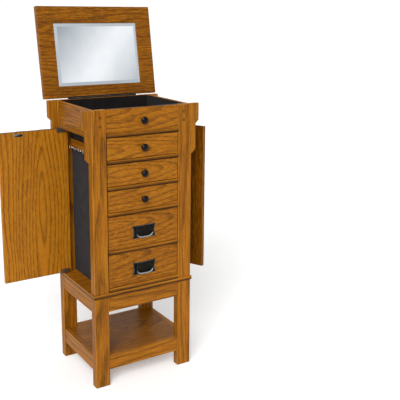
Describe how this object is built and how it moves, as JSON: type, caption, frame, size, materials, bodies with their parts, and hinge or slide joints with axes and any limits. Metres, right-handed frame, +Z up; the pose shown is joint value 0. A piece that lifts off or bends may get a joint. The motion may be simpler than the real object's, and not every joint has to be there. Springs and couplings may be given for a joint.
{
  "type": "jewelry armoire",
  "caption": "Mission-style jewelry armoire on a four-leg stand: lift-up mirror lid over a felt tray, drawers with knobs and bail pulls, and two swing-out necklace side doors.",
  "frame": {"origin": "on the floor, under the middle of the case", "axes": "+Z up, -Y out of the drawer fronts, +X to the right of someone facing the drawers"},
  "size_m": [0.7386, 0.4311, 1.375],
  "materials": {
    "oak": "honey-stained oak, satin lacquer",
    "drawer_wood": "plain sanded wood, light stain",
    "felt": "black felt lining",
    "mirror_glass": "silvered glass with a bevelled edge",
    "gunmetal": "dark gunmetal, worn bright on edges",
    "black_enamel": "gloss black"
  },
  "bodies": {
    "cabinet": {"apron_front": "oak", "apron_left": "oak", "apron_rear": "oak", "apron_right": "oak", "back_panel": "oak", "base_moulding": "oak", "case_rail_1": "oak", "case_rail_2": "oak", "case_rail_3": "oak", "case_rail_4": "oak", "case_rail_5": "oak", "case_rail_6": "oak", "corbel_front_left": "oak", "corbel_front_right": "oak", "corbel_rear_left": "oak", "corbel_rear_right": "oak", "false_front": "oak", "false_front_knob": "black_enamel", "hook_rail_left": "oak", "hook_rail_right": "oak", "leg_front_left": "oak", "leg_front_right": "oak", "leg_rear_left": "oak", "leg_rear_right": "oak", "lid_hinge": "gunmetal", "lower_shelf": "oak", "partition_left": "felt", "partition_right": "felt", "post_front_left": "oak", "post_front_right": "oak", "post_rear_left": "oak", "post_rear_right": "oak", "side_panel_left": "oak", "side_panel_right": "oak", "tray_liner": "felt"},
    "lid_body": {"lid": "oak", "lid_mirror": "mirror_glass"},
    "door_left_body": {"door_left": "oak", "door_left_hinge_top": "gunmetal", "door_left_hinge_bottom": "gunmetal"},
    "door_right_body": {"door_right": "oak", "door_right_hinge_top": "gunmetal", "door_right_hinge_bottom": "gunmetal"},
    "drawer_1_body": {"drawer_1_front": "oak", "drawer_1_box": "drawer_wood", "drawer_1_knob": "black_enamel"},
    "drawer_2_body": {"drawer_2_front": "oak", "drawer_2_box": "drawer_wood", "drawer_2_knob": "black_enamel"},
    "drawer_3_body": {"drawer_3_front": "oak", "drawer_3_box": "drawer_wood", "drawer_3_knob": "black_enamel"},
    "drawer_4_body": {"drawer_4_front": "oak", "drawer_4_box": "drawer_wood", "drawer_4_pull_plate": "gunmetal"},
    "drawer_5_body": {"drawer_5_front": "oak", "drawer_5_box": "drawer_wood", "drawer_5_pull_plate": "gunmetal"},
    "drawer_4_bail_body": {"drawer_4_bail": "gunmetal"},
    "drawer_5_bail_body": {"drawer_5_bail": "gunmetal"}
  },
  "joints": [
    {"name": "lid_hinge_turn", "type": "hinge", "parent": "cabinet", "child": "lid_body", "pos_m": [0, 0.1676, 1.03245], "axis": [1, 0, 0], "range_deg": [0, 100]},
    {"name": "door_left_swing", "type": "hinge", "parent": "cabinet", "child": "door_left_body", "pos_m": [-0.191, 0.11475, 0.65], "axis": [0, 0, 1], "range_deg": [-10, 90]},
    {"name": "door_right_swing", "type": "hinge", "parent": "cabinet", "child": "door_right_body", "pos_m": [0.191, 0.11475, 0.65], "axis": [0, 0, 1], "range_deg": [-25.5, 74.5]},
    {"name": "drawer_1_slide", "type": "slide", "parent": "cabinet", "child": "drawer_1_body", "axis": [0, -1, 0], "range_m": [0, 0.2]},
    {"name": "drawer_2_slide", "type": "slide", "parent": "cabinet", "child": "drawer_2_body", "axis": [0, -1, 0], "range_m": [0, 0.2]},
    {"name": "drawer_3_slide", "type": "slide", "parent": "cabinet", "child": "drawer_3_body", "axis": [0, -1, 0], "range_m": [0, 0.2]},
    {"name": "drawer_4_slide", "type": "slide", "parent": "cabinet", "child": "drawer_4_body", "axis": [0, -1, 0], "range_m": [0, 0.2]},
    {"name": "drawer_5_slide", "type": "slide", "parent": "cabinet", "child": "drawer_5_body", "axis": [0, -1, 0], "range_m": [0, 0.2]},
    {"name": "drawer_4_bail_swing", "type": "hinge", "parent": "drawer_4_body", "child": "drawer_4_bail_body", "pos_m": [0, -0.1709, 0.58405], "axis": [-1, 0, 0], "range_deg": [0, 90]},
    {"name": "drawer_5_bail_swing", "type": "hinge", "parent": "drawer_5_body", "child": "drawer_5_bail_body", "pos_m": [0, -0.1709, 0.44335], "axis": [-1, 0, 0], "range_deg": [0, 90]}
  ]
}
